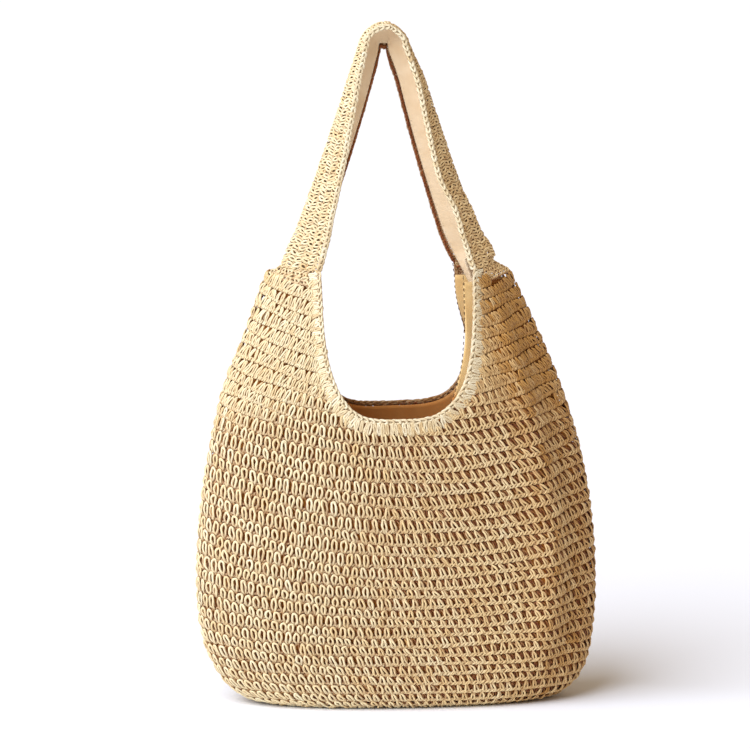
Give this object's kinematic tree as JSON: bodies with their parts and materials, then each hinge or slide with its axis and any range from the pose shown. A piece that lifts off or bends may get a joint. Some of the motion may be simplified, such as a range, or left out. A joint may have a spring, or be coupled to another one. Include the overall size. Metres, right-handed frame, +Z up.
{
  "type": "hobo bag",
  "caption": "Crocheted straw hobo shoulder bag with a U neckline, cotton lining with a slip pocket, and a folded strap that swings over the shoulders.",
  "frame": {"origin": "bottom centre of the bag: the middle of the flat oval base, on the surface it stands on", "axes": "+X to the bag's right as seen from the front, -Y out of the front face, +Z up along the strap"},
  "size_m": [0.39, 0.13, 0.658],
  "materials": {
    "straw": "crocheted paper straw yarn, matt with a faint sheen",
    "straw_edging": "dense crocheted straw border",
    "cotton": "plain woven cotton, matt",
    "thread": "sewing thread, matt"
  },
  "bodies": {
    "bag": {"crochet_base": "straw", "crochet_body": "straw", "rim_edging_front": "straw_edging", "rim_edging_back": "straw_edging", "lining_front": "cotton", "lining_back": "cotton", "lining_base": "cotton", "slip_pocket": "cotton", "pocket_hem": "cotton", "rim_thread": "thread"},
    "strap": {"strap_crochet": "straw", "strap_lining": "cotton", "strap_edging_front": "straw_edging", "strap_edging_back": "straw_edging", "strap_thread": "thread"}
  },
  "joints": [
    {"name": "strap_swing", "type": "hinge", "parent": "bag", "child": "strap", "pos_m": [0, 0, 0.365], "axis": [1, 0, 0], "range_deg": [-95, 95]}
  ]
}
